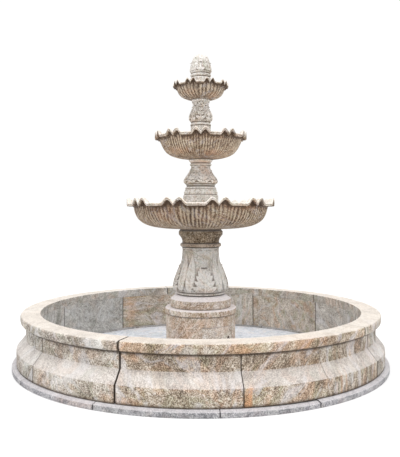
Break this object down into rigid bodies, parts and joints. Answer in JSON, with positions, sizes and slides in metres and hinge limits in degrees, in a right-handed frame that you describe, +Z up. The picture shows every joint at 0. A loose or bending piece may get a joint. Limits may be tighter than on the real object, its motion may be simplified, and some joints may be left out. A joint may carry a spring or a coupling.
{
  "type": "tiered water fountain",
  "caption": "Tiered granite fountain: scalloped bowls on carved pedestals around a riser pipe, a pump in the hollow plinth, and a round pool with a moulded stone surround.",
  "frame": {"origin": "on the ground, at the centre of the pool's kerb and under the fountain's axis", "axes": "+Z up along the fountain's axis, -Y towards the front, where the access panel faces right of the middle"},
  "size_m": [3.2989, 3.2991, 2.746],
  "materials": {
    "kerb_granite": "sawn blue-grey granite, matt",
    "wall_granite": "speckled brown and tan granite, honed",
    "coping_granite": "pink-tan granite, honed, pale top",
    "floor_granite": "pale blue-grey granite slabs, matt",
    "plinth_granite": "pink-tan granite, honed",
    "carved_granite": "pale grey-cream granite, carved, matt",
    "capital_granite": "brown granite, honed",
    "bowl_granite": "brown-tan granite with pale ribs, matt",
    "white_pvc": "plain white pipe plastic",
    "black_plastic": "moulded black plastic",
    "red_plastic": "moulded red plastic",
    "black_rubber": "moulded rubber",
    "brass": "machined brass"
  },
  "bodies": {
    "root": {"kerb_stone_01": "kerb_granite", "wall_stone_01": "wall_granite", "kerb_stone_02": "kerb_granite", "wall_stone_02": "wall_granite", "kerb_stone_03": "kerb_granite", "wall_stone_03": "wall_granite", "kerb_stone_04": "kerb_granite", "wall_stone_04": "wall_granite", "kerb_stone_05": "kerb_granite", "wall_stone_05": "wall_granite", "kerb_stone_06": "kerb_granite", "wall_stone_06": "wall_granite", "kerb_stone_07": "kerb_granite", "wall_stone_07": "wall_granite", "kerb_stone_08": "kerb_granite", "wall_stone_08": "wall_granite", "kerb_stone_09": "kerb_granite", "wall_stone_09": "wall_granite", "kerb_stone_10": "kerb_granite", "wall_stone_10": "wall_granite", "kerb_stone_11": "kerb_granite", "wall_stone_11": "wall_granite", "kerb_stone_12": "kerb_granite", "wall_stone_12": "wall_granite", "coping_stone_01": "coping_granite", "coping_stone_02": "coping_granite", "coping_stone_03": "coping_granite", "coping_stone_04": "coping_granite", "coping_stone_05": "coping_granite", "floor_slab_1": "floor_granite", "floor_slab_2": "floor_granite", "floor_slab_3": "floor_granite", "floor_slab_4": "floor_granite", "plinth_drum": "plinth_granite", "plinth_cap": "plinth_granite", "pedestal_base": "carved_granite", "main_pedestal": "carved_granite", "middle_plinth": "carved_granite", "middle_pedestal": "carved_granite", "upper_pedestal": "carved_granite", "leaf_finial": "carved_granite", "pedestal_capital": "capital_granite", "large_bowl": "bowl_granite", "middle_bowl": "bowl_granite", "small_bowl": "bowl_granite", "riser_pipe": "white_pvc", "outlet_nipple": "white_pvc", "valve_body": "white_pvc", "pump_body": "black_plastic", "pump_volute": "black_plastic", "pump_strainer": "black_plastic", "cable_gland": "black_plastic", "large_bowl_grommet": "black_rubber", "middle_bowl_grommet": "black_rubber", "small_bowl_grommet": "black_rubber", "jet_nozzle": "brass"},
    "access_panel": {"access_panel": "plinth_granite"},
    "valve_lever": {"valve_lever": "red_plastic"},
    "pump_impeller": {"pump_impeller": "brass"}
  },
  "joints": [
    {"name": "access_panel_pull", "type": "slide", "parent": "root", "child": "access_panel", "axis": [0.5262, -0.8504, 0], "range_m": [0, 0.25]},
    {"name": "valve_lever_turn", "type": "hinge", "parent": "root", "child": "valve_lever", "pos_m": [0, 0, 0.275], "axis": [0.5262, -0.8504, 0], "range_deg": [0, 90]},
    {"name": "pump_impeller_spin", "type": "hinge", "parent": "root", "child": "pump_impeller", "pos_m": [0, 0, 0.082], "axis": [0.5262, -0.8504, 0], "continuous": true}
  ]
}
